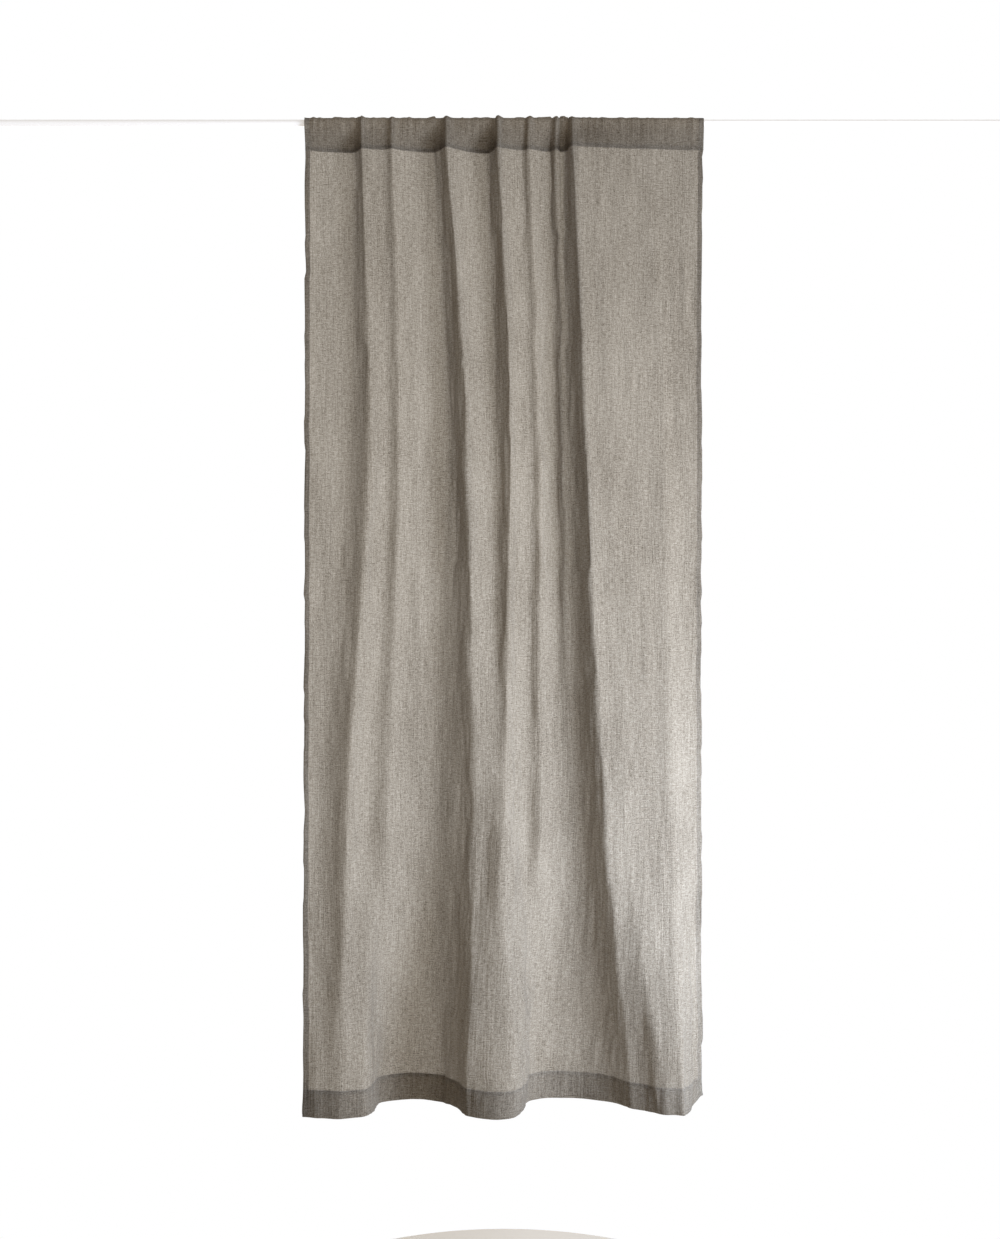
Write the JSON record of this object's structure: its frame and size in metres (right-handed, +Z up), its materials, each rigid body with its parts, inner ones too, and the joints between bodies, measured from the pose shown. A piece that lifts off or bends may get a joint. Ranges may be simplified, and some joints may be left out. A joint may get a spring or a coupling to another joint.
{
  "type": "rod-pocket curtain panel",
  "caption": "Plain linen curtain panel with a rod pocket along its top, turned side hems and a deep bottom hem, hanging in soft folds that slide along the rod.",
  "frame": {"origin": "on the axis of the rod that the pocket takes, at the middle of the hung panel", "axes": "+X along the rod towards the leading edge, +Z up, -Y towards the room"},
  "size_m": [1.0004, 0.1746, 2.5],
  "materials": {
    "linen": "plain-weave linen, natural flax grey-brown, slightly see-through",
    "thread": "matt sewing thread",
    "label": "blank satin strip"
  },
  "bodies": {
    "outer_edge": {"outer_side_hem": "linen", "outer_side_seam": "thread", "pocket_outer_end": "linen", "gather_1": "linen", "care_label": "label"},
    "fold_1": {"drop_1": "linen", "bottom_hem_1": "linen", "bottom_hem_seam_1": "thread", "pocket_1": "linen", "pocket_seam_1": "thread", "gather_2": "linen"},
    "fold_2": {"drop_2": "linen", "bottom_hem_2": "linen", "bottom_hem_seam_2": "thread", "pocket_2": "linen", "pocket_seam_2": "thread", "gather_3": "linen"},
    "fold_3": {"drop_3": "linen", "bottom_hem_3": "linen", "bottom_hem_seam_3": "thread", "pocket_3": "linen", "pocket_seam_3": "thread", "gather_4": "linen"},
    "fold_4": {"drop_4": "linen", "bottom_hem_4": "linen", "bottom_hem_seam_4": "thread", "pocket_4": "linen", "pocket_seam_4": "thread", "gather_5": "linen"},
    "fold_5": {"drop_5": "linen", "bottom_hem_5": "linen", "bottom_hem_seam_5": "thread", "pocket_5": "linen", "pocket_seam_5": "thread", "gather_6": "linen"},
    "leading_edge": {"leading_side_hem": "linen", "leading_side_seam": "thread", "pocket_leading_end": "linen"}
  },
  "joints": [
    {"name": "fold_1_slide", "type": "slide", "parent": "outer_edge", "child": "fold_1", "axis": [-1, 0, 0], "range_m": [0, 0.045], "deforming": ["gather_1"]},
    {"name": "fold_2_slide", "type": "slide", "parent": "outer_edge", "child": "fold_2", "axis": [-1, 0, 0], "range_m": [0, 0.135], "deforming": ["gather_2"]},
    {"name": "fold_3_slide", "type": "slide", "parent": "outer_edge", "child": "fold_3", "axis": [-1, 0, 0], "range_m": [0, 0.225], "deforming": ["gather_3"]},
    {"name": "fold_4_slide", "type": "slide", "parent": "outer_edge", "child": "fold_4", "axis": [-1, 0, 0], "range_m": [0, 0.315], "deforming": ["gather_4"]},
    {"name": "fold_5_slide", "type": "slide", "parent": "outer_edge", "child": "fold_5", "axis": [-1, 0, 0], "range_m": [0, 0.405], "deforming": ["gather_5"]},
    {"name": "draw", "type": "slide", "parent": "outer_edge", "child": "leading_edge", "axis": [-1, 0, 0], "range_m": [0, 0.45], "deforming": ["gather_6"]}
  ],
  "couplings": [
    {"joint": "fold_1_slide", "follows": "draw", "ratio": 0.1},
    {"joint": "fold_2_slide", "follows": "draw", "ratio": 0.3},
    {"joint": "fold_3_slide", "follows": "draw", "ratio": 0.5},
    {"joint": "fold_4_slide", "follows": "draw", "ratio": 0.7},
    {"joint": "fold_5_slide", "follows": "draw", "ratio": 0.9}
  ]
}
